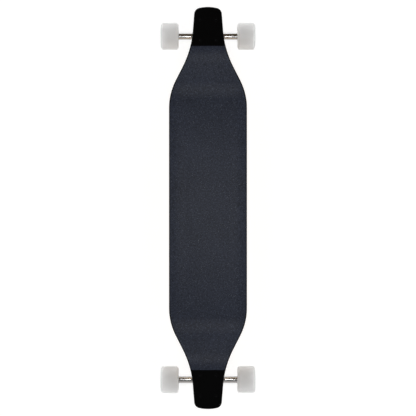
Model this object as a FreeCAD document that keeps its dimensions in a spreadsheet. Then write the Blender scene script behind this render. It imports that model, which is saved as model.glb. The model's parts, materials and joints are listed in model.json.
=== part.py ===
import FreeCAD, Part
import math
import os
from types import SimpleNamespace

import Sketcher
from FreeCAD import Placement, Rotation, Vector

# A drop-deck longboard on two reverse-kingpin trucks and four soft wheels.
# The floor is z = 0 under the middle of the board, y runs to the nose and x to the rider's right.
# Each truck is drawn about the middle of its axle, with y outward, and the tail truck is turned half round.
# Each wheel is drawn about its own middle, with x along the axle.

# Driving dimensions, in millimetres and degrees.
SIZES = {
    # Deck: plan outline
    "deck_length": 1041,
    "deck_width": 203.2,
    "nose_width": 68.8,
    "nose_crown_radius": 100,
    "nose_corner_radius": 17,
    "tongue_flare": 4.5,
    "neck_setback": 111,
    "neck_radius": 230,
    "shoulder_flare": 28,
    "shoulder_radius": 150,
    # Deck: thickness, drop and concave
    "deck_thickness": 11,
    "platform_length": 106,
    "drop_depth": 25,
    "drop_slope": 16,
    "drop_bend_radius": 140,
    "concave_flat_width": 116,
    "concave_radius": 240,
    "rail_rounding": 2.5,
    "blank_margin": 8,
    # Grip sheet
    "grip_setback": 101.5,
    "grip_thickness": 0.9,
    "grip_edge_gap": 0.2,
    # Truck layout
    "axle_setback": 64.5,
    "steering_angle": 45,
    "pivot_inset": 21.598,
    "pivot_drop": 8.598,
    "pivot_span": 56,
    "ring_below_deck": 35,
    # Baseplate
    "plate_length": 84,
    "plate_width": 58,
    "plate_thickness": 7,
    "plate_corner_radius": 9,
    "plate_edge_rounding": 1.5,
    "wedge_width": 22,
    "wedge_rounding": 3,
    "wedge_relief": 15,
    "seat_radius": 17,
    "seat_wall": 10,
    "boss_radius": 11.5,
    "boss_floor": 4,
    "boss_rounding": 4,
    # Mounting hardware
    "bolt_spacing_across": 41.3,
    "bolt_spacing_along": 53.8,
    "bolt_centre_shift": 4,
    "bolt_diameter": 4.8,
    "bolt_head_diameter": 9.2,
    "bolt_head_height": 2.6,
    "bolt_socket_width": 3.2,
    "bolt_socket_depth": 1.8,
    "bolt_tail": 3.5,
    "bolt_clearance": 0.3,
    "bolt_head_clearance": 0.05,
    "bolt_nut_width": 9.5,
    "bolt_nut_height": 4,
    "bolt_collar_height": 2,
    "bolt_collar_diameter": 8.2,
    "nut_bevel": 30,
    # Hanger
    "hanger_width": 177,
    "hanger_middle_diameter": 22,
    "hanger_end_diameter": 20,
    "hanger_collar_diameter": 14,
    "hanger_collar_length": 1.5,
    "ring_diameter": 36,
    "ring_thickness": 10,
    "ring_bore": 17,
    "yoke_width": 92,
    "yoke_back": 6,
    "yoke_foot_width": 24,
    "yoke_rounding": 2.5,
    "ring_edge_rounding": 2,
    "pin_diameter": 11.5,
    "pin_tip_radius": 4,
    "pin_clearance": 0.08,
    "boss_gap": 1.2,
    # Pivot cup
    "cup_depth": 8.5,
    "cup_wall": 2.6,
    "cup_floor": 2.5,
    # Kingpin stack
    "kingpin_diameter": 9.5,
    "kingpin_head_width": 14.3,
    "kingpin_head_height": 6.5,
    "kingpin_tail": 3,
    "kingpin_nut_height": 8,
    "kingpin_collar_height": 3,
    "kingpin_collar_diameter": 12.6,
    "bushing_diameter": 25,
    "bushing_small_diameter": 20,
    "bushing_height": 15,
    "bushing_recess": 1.5,
    "bushing_rounding": 1.6,
    "bushing_clearance": 0.1,
    "washer_thickness": 1.5,
    "washer_rim_height": 2,
    "washer_rim_width": 1,
    "recess_clearance": 0.3,
    "hex_clearance": 0.2,
    "thread_clearance": 0.05,
    "axle_clearance": 0.03,
    # Axle hardware
    "axle_diameter": 8,
    "axle_tail": 2.5,
    "axle_nut_width": 13,
    "axle_nut_height": 5.5,
    "axle_collar_height": 2,
    "axle_collar_diameter": 11.4,
    "speed_ring_diameter": 12.4,
    "speed_ring_thickness": 1,
    # Wheel
    "wheel_diameter": 70,
    "wheel_width": 47,
    "tread_width": 37,
    "lip_diameter": 54,
    "lip_rounding": 8.5,
    "lip_edge_radius": 1.6,
    "mouth_diameter": 47,
    "core_diameter": 35,
    "core_shoulder_diameter": 19,
    # Bearing
    "bearing_diameter": 22,
    "bearing_width": 7,
    "outer_ring_bore": 17.6,
    "inner_ring_diameter": 12.4,
    "ball_diameter": 3.969,
    "ball_count": 7,
    "ball_clearance": 0.05,
    "shield_thickness": 0.35,
    "shield_recess": 0.25,
    "shield_gap": 0.3,
    "spacer_length": 10,
    "spacer_diameter": 10.4,
}


class Size:
    """A size worked out from the sheet: its number, and the expression that keeps it true."""

    def __init__(self, value, text):
        self.value = value
        self.text = text

    def __add__(self, other):
        other = as_size(other)
        return Size(self.value + other.value, f"({self.text} + {other.text})")

    def __sub__(self, other):
        other = as_size(other)
        return Size(self.value - other.value, f"({self.text} - {other.text})")

    def __mul__(self, other):
        other = as_size(other)
        return Size(self.value * other.value, f"({self.text} * {other.text})")

    def __truediv__(self, other):
        other = as_size(other)
        return Size(self.value / other.value, f"({self.text} / {other.text})")

    def __radd__(self, other):
        return as_size(other) + self

    def __rsub__(self, other):
        return as_size(other) - self

    def __rmul__(self, other):
        return as_size(other) * self

    def __neg__(self):
        return Size(-self.value, f"(-1 * {self.text})")

    def sin(self):
        return Size(math.sin(math.radians(self.value)), f"sin({self.text} * 1 deg)")

    def cos(self):
        return Size(math.cos(math.radians(self.value)), f"cos({self.text} * 1 deg)")

    def tan(self):
        return Size(math.tan(math.radians(self.value)), f"tan({self.text} * 1 deg)")

    def sqrt(self):
        return Size(math.sqrt(self.value), f"sqrt({self.text})")


def as_size(number):
    return number if isinstance(number, Size) else Size(float(number), repr(float(number)))


def bind(item, path, size):
    """Ties one property of an object to the sheet."""
    item.setExpression(path, as_size(size).text)


# The document and its sheet
doc = FreeCAD.newDocument("longboard")
sheet = doc.addObject("Spreadsheet::Sheet", "Sizes")
for row, (alias, number) in enumerate(SIZES.items(), start=1):
    sheet.set(f"A{row}", alias)
    sheet.set(f"B{row}", str(number))
    sheet.setAlias(f"B{row}", alias)
doc.recompute()
size = SimpleNamespace(**{alias: Size(float(number), f"Sizes.{alias}") for alias, number in SIZES.items()})

# Heights and places that several pieces share
wheel_radius = size.wheel_diameter / 2
half_length = size.deck_length / 2
half_width = size.deck_width / 2
axle_y = half_length - size.axle_setback
hanger_end = size.hanger_width / 2
core_half = size.spacer_length / 2 + size.bearing_width
wheel_x = hanger_end + size.speed_ring_thickness + core_half
axle_radius = size.axle_diameter / 2

# The steering axis climbs outward, and the kingpin stands square to it at the ring's middle.
# In the truck's side view a point is (y, z): along the axis is s, and along the kingpin is k.
axis_y = size.steering_angle.cos()
axis_z = size.steering_angle.sin()
pivot_point = (-size.pivot_inset, -size.pivot_drop)
ring_point = (pivot_point[0] + size.pivot_span * axis_y, pivot_point[1] + size.pivot_span * axis_z)
truck_height = ring_point[1] + size.ring_below_deck
deck_top = wheel_radius + truck_height + size.deck_thickness
bushing_near = size.ring_thickness / 2 - size.bushing_recess
bushing_far = bushing_near + size.bushing_height
seat_k = bushing_far + size.washer_thickness
head_k = seat_k + size.seat_wall
kingpin_radius = size.kingpin_diameter / 2
pin_radius = size.pin_diameter / 2
boss_back = size.cup_floor + size.boss_floor
cup_radius = pin_radius + size.pin_clearance + size.cup_wall
inner_bore = axle_radius + size.axle_clearance
ball_x = size.spacer_length / 2 + size.bearing_width / 2
ball_pitch = (size.outer_ring_bore + size.inner_ring_diameter) / 4
bolt_x = size.bolt_spacing_across / 2
blank_y = half_length + size.blank_margin

# Where the yoke's front meets the hanger's bar, as a share of the bar's radius.
YOKE_REACH = 0.8
YOKE_RISE = 0.6

# How near a point is to a plane or a line to count as on it.
NEAR = 0.01

ENDS = (("front", 1), ("rear", -1))
BOLT_SPREAD = (("X_Axis", size.bolt_spacing_across), ("Y_Axis", size.bolt_spacing_along))
nodes = {}


def pivot_frame(along, off):
    """A point of the side view: along the steering axis from the pin's tip, and off it along the kingpin."""
    return (
        pivot_point[0] + along * axis_y + off * axis_z,
        pivot_point[1] + along * axis_z - off * axis_y,
    )


def new_body(label):
    body = doc.addObject("PartDesign::Body", label)
    body.Label = label
    nodes[label] = body
    return body


def origin_part(body, role):
    return next(item for item in body.Origin.OriginFeatures if item.Role == role)


def new_sketch(body, name, plane, offset=(0, 0, 0), turn=None, about=Vector(0, 0, 1)):
    """A sketch on one of the body's own planes, moved and turned in that plane's frame."""
    sketch = body.newObject("Sketcher::SketchObject", f"{body.Label}_{name}")
    sketch.AttachmentSupport = [(origin_part(body, plane), "")]
    sketch.MapMode = "FlatFace"
    angle = as_size(0 if turn is None else turn)
    shift = [as_size(part) for part in offset]
    sketch.AttachmentOffset = Placement(Vector(*[part.value for part in shift]), Rotation(about, angle.value))
    for letter, part in zip("xyz", shift):
        bind(sketch, f"AttachmentOffset.Base.{letter}", part)
    if turn is not None:
        bind(sketch, "AttachmentOffset.Rotation.Angle", angle)
    return sketch


def fix_point(sketch, geometry, end, point, rules, ties):
    """Ties one end of an edge to its place, measured from the sketch's origin."""
    for kind, axis, part in (("DistanceX", -2, point[0]), ("DistanceY", -1, point[1])):
        if not isinstance(part, Size) and part == 0:
            rules.append(Sketcher.Constraint("PointOnObject", geometry, end, axis))
            continue
        part = as_size(part)
        ties.append((len(rules), part))
        rules.append(Sketcher.Constraint(kind, -1, 1, geometry, end, part.value))


def apply_rules(sketch, rules, ties):
    first = sketch.ConstraintCount
    sketch.addConstraint(rules)
    for index, part in ties:
        bind(sketch, f"Constraints[{first + index}]", part)


def draw(sketch, corners, closed=True):
    """Draws a profile or an open line. A corner is (x, y), or (x, y, radius, turn) where an arc leaves it.

    turn is 1 for an anticlockwise arc and -1 for a clockwise one, each under a half circle.
    """
    rules = []
    ties = []
    ends = []
    edges = len(corners) if closed else len(corners) - 1
    for index in range(edges):
        corner = corners[index]
        following = corners[(index + 1) % len(corners)]
        start = Vector(as_size(corner[0]).value, as_size(corner[1]).value, 0)
        stop = Vector(as_size(following[0]).value, as_size(following[1]).value, 0)
        if len(corner) == 2:
            geometry = sketch.addGeometry(Part.LineSegment(start, stop), False)
            ends.append((geometry, 1, 2))
            continue
        radius = as_size(corner[2])
        turn = corner[3]
        chord = stop - start
        rise = math.sqrt(max(radius.value**2 - (chord.Length / 2) ** 2, 0))
        side = Vector(-chord.y, chord.x, 0).normalize() * turn
        centre = (start + stop) / 2 + side * rise
        first, last = (start, stop) if turn > 0 else (stop, start)
        angles = [math.atan2(point.y - centre.y, point.x - centre.x) for point in (first, last)]
        circle = Part.Circle(centre, Vector(0, 0, 1), radius.value)
        geometry = sketch.addGeometry(Part.ArcOfCircle(circle, *angles), False)
        ends.append((geometry, 1, 2) if turn > 0 else (geometry, 2, 1))
        ties.append((len(rules), radius))
        rules.append(Sketcher.Constraint("Radius", geometry, radius.value))
    for index in range(edges):
        geometry, start_end, _ = ends[index]
        if closed or index:
            before, _, before_end = ends[index - 1]
            rules.append(Sketcher.Constraint("Coincident", before, before_end, geometry, start_end))
        fix_point(sketch, geometry, start_end, corners[index][:2], rules, ties)
    if not closed:
        geometry, _, stop_end = ends[-1]
        fix_point(sketch, geometry, stop_end, corners[-1][:2], rules, ties)
    apply_rules(sketch, rules, ties)


def draw_circle(sketch, x, y, radius):
    radius = as_size(radius)
    place = Vector(as_size(x).value, as_size(y).value, 0)
    geometry = sketch.addGeometry(Part.Circle(place, Vector(0, 0, 1), radius.value), False)
    rules = [Sketcher.Constraint("Radius", geometry, radius.value)]
    ties = [(0, radius)]
    fix_point(sketch, geometry, 3, (x, y), rules, ties)
    apply_rules(sketch, rules, ties)


def draw_hexagon(sketch, width):
    """A hexagon about the sketch's origin, with two flats square to its y axis."""
    reach = width / as_size(3).sqrt()
    half = width / 2
    upper = [(reach, 0), (reach / 2, half), (-reach / 2, half)]
    draw(sketch, upper + [(-reach, 0), (-reach / 2, -half), (reach / 2, -half)])


def rounded_box(x, y, centre_y, radius):
    """Corners of a rectangle with round corners, half sizes x and y, going anticlockwise."""
    low = centre_y - y
    high = centre_y + y
    return [
        (x - radius, low, radius, 1),
        (x, low + radius),
        (x, high - radius, radius, 1),
        (x - radius, high),
        (radius - x, high, radius, 1),
        (-x, high - radius),
        (-x, low + radius, radius, 1),
        (radius - x, low),
    ]


def pad(body, name, sketch, length, both=False, reverse=False):
    feature = body.newObject("PartDesign::Pad", f"{body.Label}_{name}")
    feature.Profile = sketch
    feature.SideType = "Symmetric" if both else "One side"
    feature.Reversed = reverse
    bind(feature, "Length", length)
    return feature


def pocket(body, name, sketch, length=None, reverse=False):
    """Cuts along the sketch's normal, or right through both ways if no length is given."""
    feature = body.newObject("PartDesign::Pocket", f"{body.Label}_{name}")
    feature.Profile = sketch
    if length is None:
        feature.Type = "ThroughAll"
        feature.SideType = "Symmetric"
    else:
        feature.Reversed = reverse
        bind(feature, "Length", length)
    return feature


def revolve(body, name, sketch, axis="H_Axis", cut=False):
    kind = "PartDesign::Groove" if cut else "PartDesign::Revolution"
    feature = body.newObject(kind, f"{body.Label}_{name}")
    feature.Profile = sketch
    feature.ReferenceAxis = (sketch, [axis])
    feature.Angle = 360
    return feature


def pattern(body, name, original, steps):
    """Copies a feature, or the whole piece if none is given, along two of the body's axes."""
    doc.recompute()
    feature = body.newObject("PartDesign::LinearPattern", f"{body.Label}_{name}")
    if original is None:
        feature.TransformMode = "Whole shape"
    else:
        feature.Originals = [original]
    for suffix, (axis, length) in zip(("", "2"), steps):
        setattr(feature, f"Direction{suffix}", (origin_part(body, axis), [""]))
        setattr(feature, f"Occurrences{suffix}", 2)
        bind(feature, f"Length{suffix}", length)
    body.Tip = feature
    return feature


def turned(label, profile):
    """A round piece about its own z axis, from a half profile of (radius, height)."""
    body = new_body(label)
    sketch = new_sketch(body, "profile", "XZ_Plane")
    draw(sketch, profile)
    revolve(body, "turn", sketch, "V_Axis")
    return body


def place(body, x, y, z, axis=Vector(0, 0, 1), angle=0):
    """Puts a body at its place, turned about one axis."""
    base = [as_size(part) for part in (x, y, z)]
    angle = as_size(angle)
    body.Placement = Placement(Vector(*[part.value for part in base]), Rotation(axis, angle.value))
    for letter, part in zip("xyz", base):
        bind(body, f"Placement.Base.{letter}", part)
    if angle.value:
        bind(body, "Placement.Rotation.Angle", angle)


def place_in_truck(body, end, point=(0, 0), lean=None):
    """Puts a truck piece under its end of the deck, turned half round at the tail, or leaning inward."""
    y = end * (axle_y + point[0])
    z = wheel_radius + point[1]
    if lean is None:
        place(body, 0, y, z, angle=90 - 90 * end)
    else:
        place(body, 0, y, z, Vector(-end, 0, 0), lean)


def box(low, high, inner, outer):
    """Corners of a rectangle: from low to high along the axis, and from inner to outer off it."""
    return [(low, inner), (high, inner), (high, outer), (low, outer)]


def lathe(label, profiles):
    """A round piece, or a row of them, about its own x axis, from half profiles of (x, radius)."""
    body = new_body(label)
    sketch = new_sketch(body, "profile", "XY_Plane")
    for profile in profiles:
        draw(sketch, profile)
    revolve(body, "turn", sketch)
    return body


def mirror(body, plane):
    """Repeats the whole piece on the other side of one of its own planes."""
    doc.recompute()
    feature = body.newObject("PartDesign::Mirrored", f"{body.Label}_other_side")
    feature.TransformMode = "Whole shape"
    feature.MirrorPlane = (origin_part(body, plane), [""])
    body.Tip = feature


def round_edges(body, name, base, chosen, radius):
    """Rounds those edges of a feature whose middle and length pass the test."""
    doc.recompute()
    names = []
    for number, edge in enumerate(base.Shape.Edges, start=1):
        middle = edge.valueAt((edge.FirstParameter + edge.LastParameter) / 2)
        if chosen(middle, edge.Length):
            names.append(f"Edge{number}")
    feature = body.newObject("PartDesign::Fillet", f"{body.Label}_{name}")
    feature.Base = (base, names)
    bind(feature, "Radius", radius)


def nut(label, width, height, collar_diameter, collar_height, bore, start, way=1):
    """A lock nut along its own z axis: a bevelled hexagon from start, then its round collar."""
    body = new_body(label)
    top = start + way * height
    sketch = new_sketch(body, "hex", "XY_Plane", (0, 0, start))
    draw_hexagon(sketch, width)
    pad(body, "flats", sketch, height, reverse=way < 0)
    sketch = new_sketch(body, "bevel_side", "XZ_Plane")
    draw(sketch, [(width / 2, top), (width, top), (width, top - way * width / 2 * size.nut_bevel.tan())])
    revolve(body, "bevel", sketch, "V_Axis", cut=True)
    sketch = new_sketch(body, "collar_circle", "XY_Plane", (0, 0, top))
    draw_circle(sketch, 0, 0, collar_diameter / 2)
    pad(body, "collar", sketch, collar_height, reverse=way < 0)
    sketch = new_sketch(body, "bore_circle", "XY_Plane")
    draw_circle(sketch, 0, 0, bore)
    pocket(body, "bore", sketch)
    return body


def kingpin_sketch(body, name):
    """A side-view sketch whose x axis is the kingpin's line, from the ring's middle to the nut."""
    return new_sketch(body, name, "YZ_Plane", (*ring_point, 0), size.steering_angle - 90)


def pivot_sketch(body, name):
    """A side-view sketch whose x axis is the steering axis, from the pivot pin's tip to the ring."""
    return new_sketch(body, name, "YZ_Plane", (*pivot_point, 0), size.steering_angle)


def bolt_y(end):
    """Middle of the bolt nearest the tail in one truck's set."""
    return end * (axle_y + size.bolt_centre_shift) - size.bolt_spacing_along / 2


# Deck outline
def outline(inset):
    """Corners of the plan outline, clockwise from the nose, moved inward by inset."""
    flare = size.tongue_flare
    splay = size.shoulder_flare
    crown = size.nose_crown_radius
    corner = size.nose_corner_radius
    half_nose = size.nose_width / 2
    lean = flare.tan()
    middle = half_nose - corner / flare.cos()
    reach = crown - middle * lean
    spread = 1 + lean * lean
    slack = middle * middle + 2 * crown * corner - corner * corner
    corner_t = (reach - (reach * reach - spread * slack).sqrt()) / spread
    corner_x = middle + corner_t * lean
    stretch = crown / (crown - corner)
    meet_t = size.neck_setback
    meet_x = half_nose + lean * meet_t
    shoulder_x = half_width - size.shoulder_radius * (1 - splay.cos())
    shoulder_t = meet_t + (shoulder_x - meet_x) / splay.tan()
    waist_t = shoulder_t + size.shoulder_radius * splay.sin()
    bend = size.neck_radius * ((splay - flare) / 2).tan()
    along_tongue = (flare.cos(), flare.sin())
    along_splay = (splay.cos(), splay.sin())
    crown_normal = (stretch * corner_x / crown, (stretch * (crown - corner_t)) / crown)
    # Each stop is (x, distance from the tip, outward normal, arc radius to the next stop, its turn).
    stops = [
        (stretch * corner_x, crown - stretch * (crown - corner_t), crown_normal, corner - inset, -1),
        (corner_x + corner * flare.cos(), corner_t - corner * flare.sin(), along_tongue, None, 0),
        (meet_x - bend * flare.sin(), meet_t - bend * flare.cos(), along_tongue, size.neck_radius + inset, 1),
        (meet_x + bend * splay.sin(), meet_t + bend * splay.cos(), along_splay, None, 0),
        (shoulder_x, shoulder_t, along_splay, size.shoulder_radius - inset, -1),
        (half_width, waist_t, (Size(1, "1"), Size(0, "0")), None, 0),
    ]
    places = [(x - inset * normal[0], half_length - t - inset * normal[1]) for x, t, normal, _, _ in stops]
    arcs = [(radius, turn) for _, _, _, radius, turn in stops]
    crown_arc = (crown - inset, -1)
    corners = []
    for right, nose in ((1, 1), (1, -1), (-1, -1), (-1, 1)):
        outward = right == nose
        order = range(len(places)) if outward else range(len(places) - 1, -1, -1)
        for index in order:
            if outward:
                arc = arcs[index]
            else:
                arc = arcs[index - 1] if index else crown_arc
            x, y = places[index]
            corners.append((x * right, y * nose) + (arc if arc[0] is not None else ()))
    return corners


# Deck and grip sheet
def drop_line():
    """The deck's top line in side view, nose to tail: platform, slope, low middle, and back up."""
    radius = size.drop_bend_radius
    slope = size.drop_slope
    bend_y = radius * slope.sin()
    bend_z = radius * (1 - slope.cos())
    straight_y = (size.drop_depth - 2 * bend_z) / slope.tan()
    platform_y = half_length - size.platform_length
    low = deck_top - size.drop_depth
    nose_half = [
        (blank_y, deck_top),
        (platform_y, deck_top, radius, 1),
        (platform_y - bend_y, deck_top - bend_z),
        (platform_y - bend_y - straight_y, low + bend_z, radius, -1),
        (platform_y - 2 * bend_y - straight_y, low),
    ]
    tail_arcs = [(radius, -1), (), (radius, 1), (), ()]
    tail_half = [(-y, z) + arc for (y, z, *_), arc in zip(reversed(nose_half), tail_arcs)]
    return nose_half + tail_half


def slab_section(lower, upper):
    """Cross-section of a layer between two heights above the top: a flat middle with rails that curl up."""
    flat = size.concave_flat_width / 2
    edge = half_width + size.blank_margin
    centre = deck_top + size.concave_radius
    corners = []
    for height, turn, side in ((lower, 1, -1), (upper, -1, 1)):
        radius = size.concave_radius - height
        edge_z = centre - (radius * radius - (edge - flat) * (edge - flat)).sqrt()
        level = deck_top + height
        corners += [
            (side * edge, edge_z, radius, turn),
            (side * flat, level),
            (-side * flat, level, radius, turn),
            (-side * edge, edge_z),
        ]
    return corners


def pressed_layer(label, lower, upper):
    """A layer swept along the drop line, still square at its ends and edges."""
    body = new_body(label)
    line = new_sketch(body, "drop_line", "YZ_Plane")
    draw(line, drop_line(), closed=False)
    section = new_sketch(body, "section", "XZ_Plane", (0, 0, -blank_y))
    draw(section, slab_section(lower, upper))
    sweep = body.newObject("PartDesign::AdditivePipe", f"{label}_pressing")
    sweep.Profile = section
    sweep.Spine = (line, [f"Edge{index + 1}" for index in range(line.GeometryCount)])
    return body


def trim_to_outline(body, inset):
    """Saws the layer to the plan outline."""
    sketch = new_sketch(body, "outline", "XY_Plane")
    draw(sketch, outline(inset))
    reach_x = half_width + 2 * size.blank_margin
    reach_y = blank_y + size.blank_margin
    draw(sketch, [(reach_x, reach_y), (-reach_x, reach_y), (-reach_x, -reach_y), (reach_x, -reach_y)])
    return pocket(body, "saw_cut", sketch)


def rail_edges(shape):
    """Names of the edges where the sawn rim meets the top or the underside."""
    names = []
    for number, edge in enumerate(shape.Edges, start=1):
        middle = edge.valueAt((edge.FirstParameter + edge.LastParameter) / 2)
        slopes = []
        for face in shape.ancestorsOfType(edge, Part.Face):
            slopes.append(abs(face.normalAt(*face.Surface.parameter(middle)).z))
        if len(slopes) == 2 and min(slopes) < 0.01 and max(slopes) > 0.5:
            names.append(f"Edge{number}")
    return names


def make_deck():
    body = pressed_layer("deck", -size.deck_thickness, 0)
    rim = trim_to_outline(body, 0)
    doc.recompute()
    rounding = body.newObject("PartDesign::Fillet", "deck_rail_rounding")
    rounding.Base = (rim, rail_edges(rim.Shape))
    bind(rounding, "Radius", size.rail_rounding)
    shank = size.bolt_diameter / 2
    head = size.bolt_head_diameter / 2
    hole_radius = shank + size.bolt_clearance
    mouth_radius = head + size.bolt_head_clearance
    sink = size.bolt_head_height * (mouth_radius - hole_radius) / (head - shank)
    bottom = -2 * size.deck_thickness
    for name, end in ENDS:
        sketch = new_sketch(body, f"{name}_bolt_hole", "XZ_Plane", (-bolt_x, deck_top, -bolt_y(end)))
        draw(sketch, [(0, bottom), (hole_radius, bottom), (hole_radius, -sink), (mouth_radius, 0), (0, 0)])
        hole = revolve(body, f"{name}_countersink", sketch, "V_Axis", cut=True)
        pattern(body, f"{name}_bolt_holes", hole, BOLT_SPREAD)


def make_grip():
    body = pressed_layer("grip_tape", 0, size.grip_thickness)
    trim_to_outline(body, size.rail_rounding + size.grip_edge_gap)
    sketch = new_sketch(body, "end_lines", "XY_Plane")
    far = blank_y + size.blank_margin
    near = half_length - size.grip_setback
    wide = half_width + size.blank_margin
    for end in (1, -1):
        draw(sketch, [(-wide, near * end), (wide, near * end), (wide, far * end), (-wide, far * end)])
    pocket(body, "end_cuts", sketch)


# Baseplate
def make_baseplate(name, end):
    body = new_body(f"{name}_baseplate")
    plate_under = truck_height - size.plate_thickness
    plate_half = size.plate_length / 2
    sketch = new_sketch(body, "plate_outline", "XY_Plane", (0, 0, plate_under))
    plate_x = size.plate_width / 2
    draw(sketch, rounded_box(plate_x, plate_half, size.bolt_centre_shift, size.plate_corner_radius))
    plate = pad(body, "plate", sketch, size.plate_thickness)
    ceiling = plate_under.value

    def under_plate(middle, length):
        return abs(middle.z - ceiling) < NEAR

    round_edges(body, "plate_rounding", plate, under_plate, size.plate_edge_rounding)

    mouth = size.cup_depth
    rounding = size.boss_rounding
    seat_low = pivot_frame(size.pivot_span - size.seat_radius, -seat_k)
    seat_high = pivot_frame(size.pivot_span + size.seat_radius, -seat_k)
    sketch = new_sketch(body, "wedge_side", "YZ_Plane")
    draw(sketch, [
        pivot_frame(rounding - boss_back, rounding - size.boss_radius),
        pivot_frame(mouth, rounding - size.boss_radius),
        pivot_frame(mouth, -size.boss_radius),
        pivot_frame(mouth + rounding, -size.wedge_relief),
        seat_low,
        seat_high,
        (seat_high[0] + rounding, plate_under),
        (size.bolt_centre_shift - plate_half + rounding, plate_under),
        pivot_frame(rounding - boss_back, -size.boss_radius),
    ])
    wedge = pad(body, "wedge", sketch, size.wedge_width, both=True)
    flank = size.wedge_width.value / 2

    def on_flank(middle, length):
        return abs(abs(middle.x) - flank) < NEAR and middle.z < ceiling - NEAR and length > 2 * flank

    round_edges(body, "wedge_rounding", wedge, on_flank, size.wedge_rounding)

    sketch = kingpin_sketch(body, "seat_boss_side")
    draw(sketch, box(-head_k, -seat_k, 0, size.seat_radius))
    revolve(body, "seat_boss", sketch)

    sketch = pivot_sketch(body, "pivot_boss_side")
    draw(sketch, [
        (-boss_back, 0),
        (mouth, 0),
        (mouth, size.boss_radius),
        (rounding - boss_back, size.boss_radius, rounding, 1),
        (-boss_back, size.boss_radius - rounding),
    ])
    revolve(body, "pivot_boss", sketch)

    sketch = kingpin_sketch(body, "kingpin_bore_side")
    bore = kingpin_radius + size.thread_clearance
    draw(sketch, box(-head_k - size.seat_wall, size.seat_wall - seat_k, 0, bore))
    revolve(body, "kingpin_bore", sketch, cut=True)

    head_at = (0, *pivot_frame(size.pivot_span, -head_k))
    sketch = new_sketch(body, "head_recess_hex", "XY_Plane", head_at, size.steering_angle, Vector(1, 0, 0))
    draw_hexagon(sketch, size.kingpin_head_width + 2 * size.hex_clearance)
    pocket(body, "head_recess", sketch, truck_height, reverse=True)

    sketch = pivot_sketch(body, "cup_bore_side")
    draw(sketch, box(-size.cup_floor, mouth + rounding, 0, cup_radius))
    revolve(body, "cup_bore", sketch, cut=True)

    sketch = new_sketch(body, "bolt_hole_plan", "XY_Plane")
    for across in (1, -1):
        for along in (1, -1):
            y = size.bolt_centre_shift + along * size.bolt_spacing_along / 2
            draw_circle(sketch, across * bolt_x, y, size.bolt_diameter / 2 + size.bolt_clearance)
    pocket(body, "bolt_holes", sketch)
    place_in_truck(body, end)


def make_pivot_cup(name, end):
    inner = pin_radius + size.pin_clearance
    tip = size.pin_tip_radius + size.pin_clearance
    body = turned(f"{name}_pivot_cup", [
        (0, -size.cup_floor),
        (cup_radius, -size.cup_floor),
        (cup_radius, size.cup_depth),
        (inner, size.cup_depth),
        (inner, size.pin_tip_radius, tip, -1),
        (inner - tip, -size.pin_clearance),
        (0, -size.pin_clearance),
    ])
    place_in_truck(body, end, pivot_point, 90 - size.steering_angle)


# Hanger
def make_hanger(name, end):
    body = new_body(f"{name}_hanger")
    axle_s = -pivot_point[0] * axis_y - pivot_point[1] * axis_z
    axle_k = pivot_point[1] * axis_y - pivot_point[0] * axis_z
    middle = size.hanger_middle_diameter / 2
    ring_half = size.ring_thickness / 2
    ring_radius = size.ring_diameter / 2
    foot = size.cup_depth + size.boss_gap
    sketch = new_sketch(body, "yoke_side", "YZ_Plane")
    draw(sketch, [
        pivot_frame(foot, -size.yoke_back),
        pivot_frame(size.pivot_span, -ring_half),
        pivot_frame(size.pivot_span, ring_half),
        pivot_frame(size.pivot_span - ring_radius, ring_half),
        pivot_frame(axle_s + middle * YOKE_REACH, axle_k + middle * YOKE_RISE),
        (0, 0),
        pivot_frame(foot, ring_half),
    ])
    pad(body, "yoke", sketch, size.yoke_width, both=True)

    sketch = new_sketch(body, "yoke_plan", "XY_Plane", (0, *ring_point), size.steering_angle, Vector(1, 0, 0))
    far = size.yoke_width
    for across in (1, -1):
        draw(sketch, [
            (across * ring_radius, ring_radius),
            (across * ring_radius, 0),
            (across * size.yoke_width / 2, axle_s - size.pivot_span),
            (across * size.yoke_foot_width / 2, foot - size.pivot_span),
            (across * size.yoke_foot_width / 2, -size.pivot_span),
            (across * far, -size.pivot_span),
            (across * far, ring_radius),
        ])
    yoke = pocket(body, "yoke_flanks", sketch)

    def off_centre(middle, length):
        return abs(middle.x) > NEAR

    round_edges(body, "yoke_rounding", yoke, off_centre, size.yoke_rounding)

    sketch = new_sketch(body, "bar_side", "XY_Plane")
    bevel = size.hanger_collar_length
    collar = hanger_end - bevel
    tip = size.hanger_end_diameter / 2
    half_bar = [
        (hanger_end, 0),
        (hanger_end, size.hanger_collar_diameter / 2),
        (collar, size.hanger_collar_diameter / 2),
        (collar, tip - bevel),
        (collar - bevel, tip),
        (size.yoke_width / 2, tip),
    ]
    draw(sketch, half_bar + [(0, middle)] + [(-x, radius) for x, radius in reversed(half_bar)])
    revolve(body, "bar", sketch)

    sketch = kingpin_sketch(body, "ring_side")
    edge = size.ring_edge_rounding
    draw(sketch, [
        (-ring_half, 0),
        (ring_half, 0),
        (ring_half, ring_radius - edge, edge, 1),
        (ring_half - edge, ring_radius),
        (edge - ring_half, ring_radius, edge, 1),
        (-ring_half, ring_radius - edge),
    ])
    revolve(body, "ring", sketch)

    sketch = pivot_sketch(body, "pin_side")
    tip_radius = size.pin_tip_radius
    draw(sketch, [
        (0, 0),
        (axle_s, 0),
        (axle_s, pin_radius),
        (tip_radius, pin_radius, tip_radius, 1),
        (0, pin_radius - tip_radius),
    ])
    revolve(body, "pivot_pin", sketch)

    sketch = kingpin_sketch(body, "ring_bore_side")
    recess = size.bushing_diameter / 2 + size.recess_clearance
    bore = size.ring_bore / 2
    clear = size.ring_thickness
    draw(sketch, [
        (-clear, 0),
        (clear, 0),
        (clear, recess),
        (bushing_near, recess),
        (bushing_near, bore),
        (-bushing_near, bore),
        (-bushing_near, recess),
        (-clear, recess),
    ])
    revolve(body, "ring_bore", sketch, cut=True)

    sketch = new_sketch(body, "axle_bore_side", "YZ_Plane")
    draw_circle(sketch, 0, 0, axle_radius)
    pocket(body, "axle_bore", sketch)
    place_in_truck(body, end)


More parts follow.
